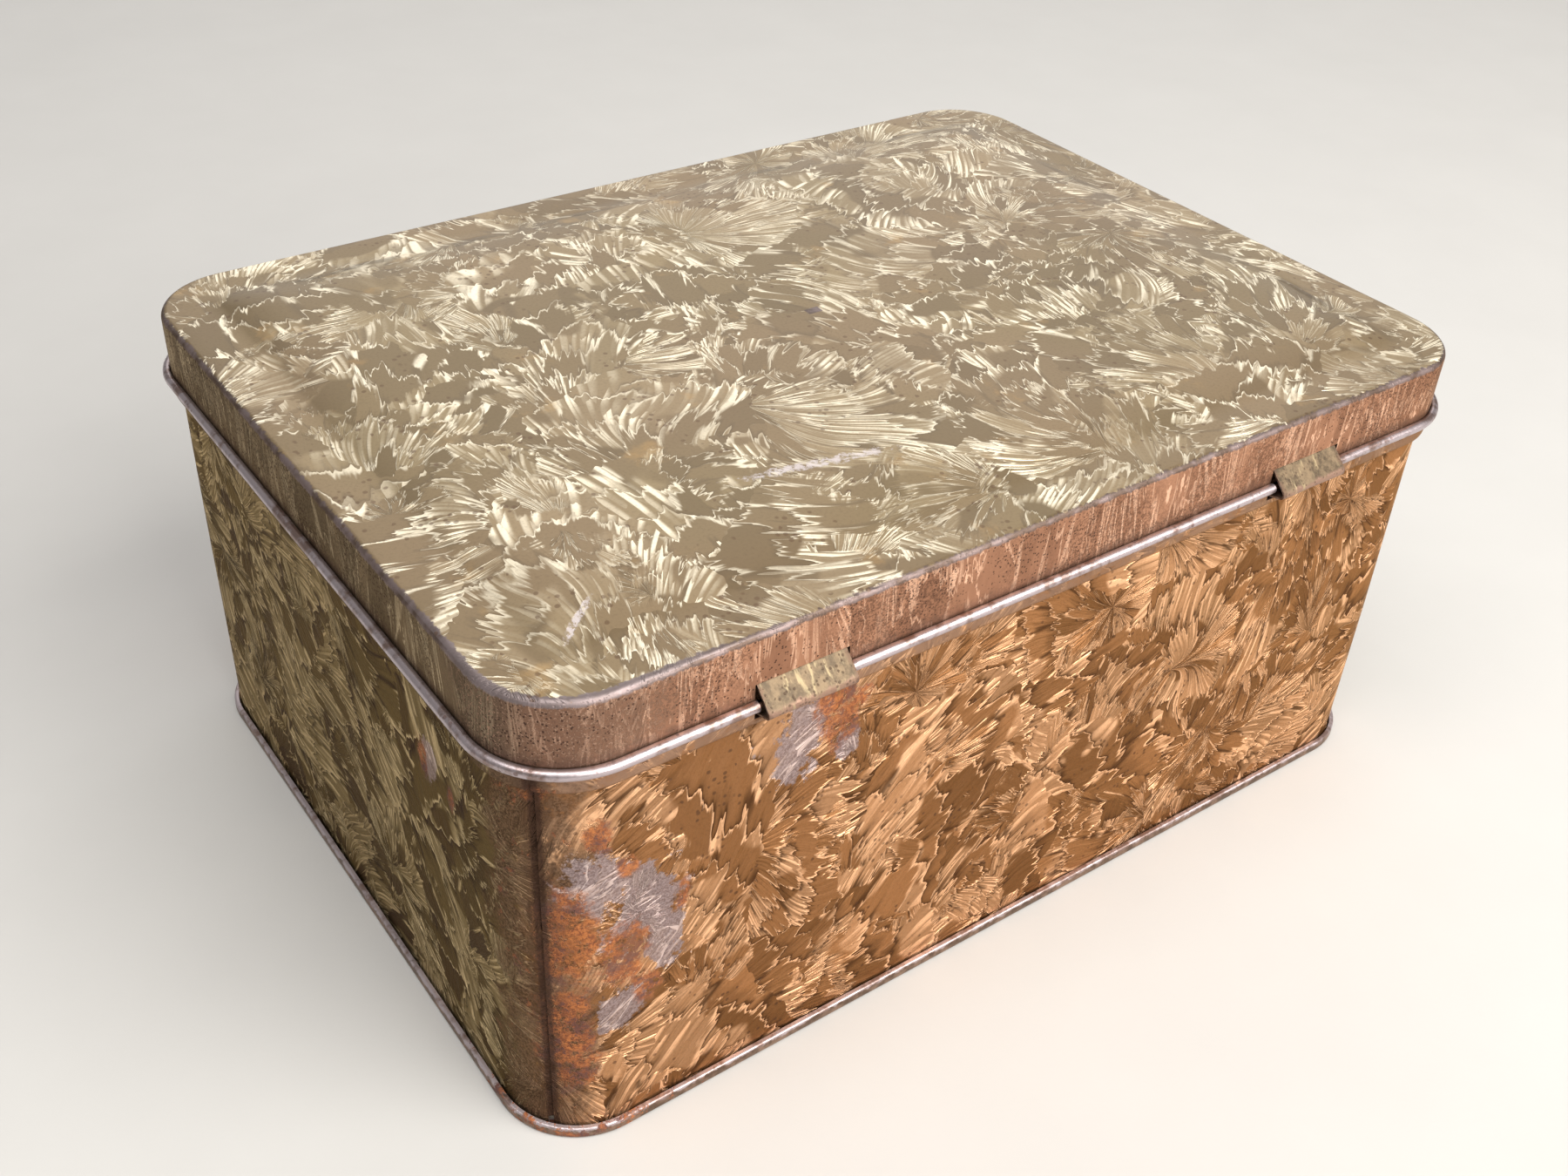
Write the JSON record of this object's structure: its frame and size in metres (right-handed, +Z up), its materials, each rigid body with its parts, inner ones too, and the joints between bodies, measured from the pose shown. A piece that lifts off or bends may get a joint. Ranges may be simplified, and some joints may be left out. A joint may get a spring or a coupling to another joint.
{
  "type": "hinged tin box",
  "caption": "Rectangular lacquered tinplate box with rounded corners, a raised lid panel, a wired lid edge and strap hinges, for keeping small things in.",
  "frame": {"origin": "centre of the whole closed box's bounds in plan, on the surface it stands on", "axes": "+X to the right and along the hinge, +Y to the back where the hinge is, +Z up"},
  "size_m": [0.2844, 0.2104, 0.1316],
  "materials": {
    "wall_lacquer": "crystallised copper-gold lacquer on tinplate, worn and rusted in places",
    "base_lacquer": "gold lacquer on tinplate, its rim worn to the tin",
    "lid_lacquer": "crystallised olive-gold lacquer on tinplate, worn at the edges",
    "wire_steel": "drawn iron wire",
    "strap_lacquer": "speckled gold lacquer on tinplate"
  },
  "bodies": {
    "box": {"wall_sheet_back": "wall_lacquer", "wall_sheet_front": "wall_lacquer", "base_panel": "base_lacquer", "hinge_strap_left": "strap_lacquer", "hinge_strap_right": "strap_lacquer"},
    "lid": {"lid_shell": "lid_lacquer", "lid_wire": "wire_steel"}
  },
  "joints": [
    {"name": "lid_hinge", "type": "hinge", "parent": "box", "child": "lid", "pos_m": [0, 0.10182, 0.112], "axis": [-1, 0, 0], "range_deg": [0, 180]}
  ]
}
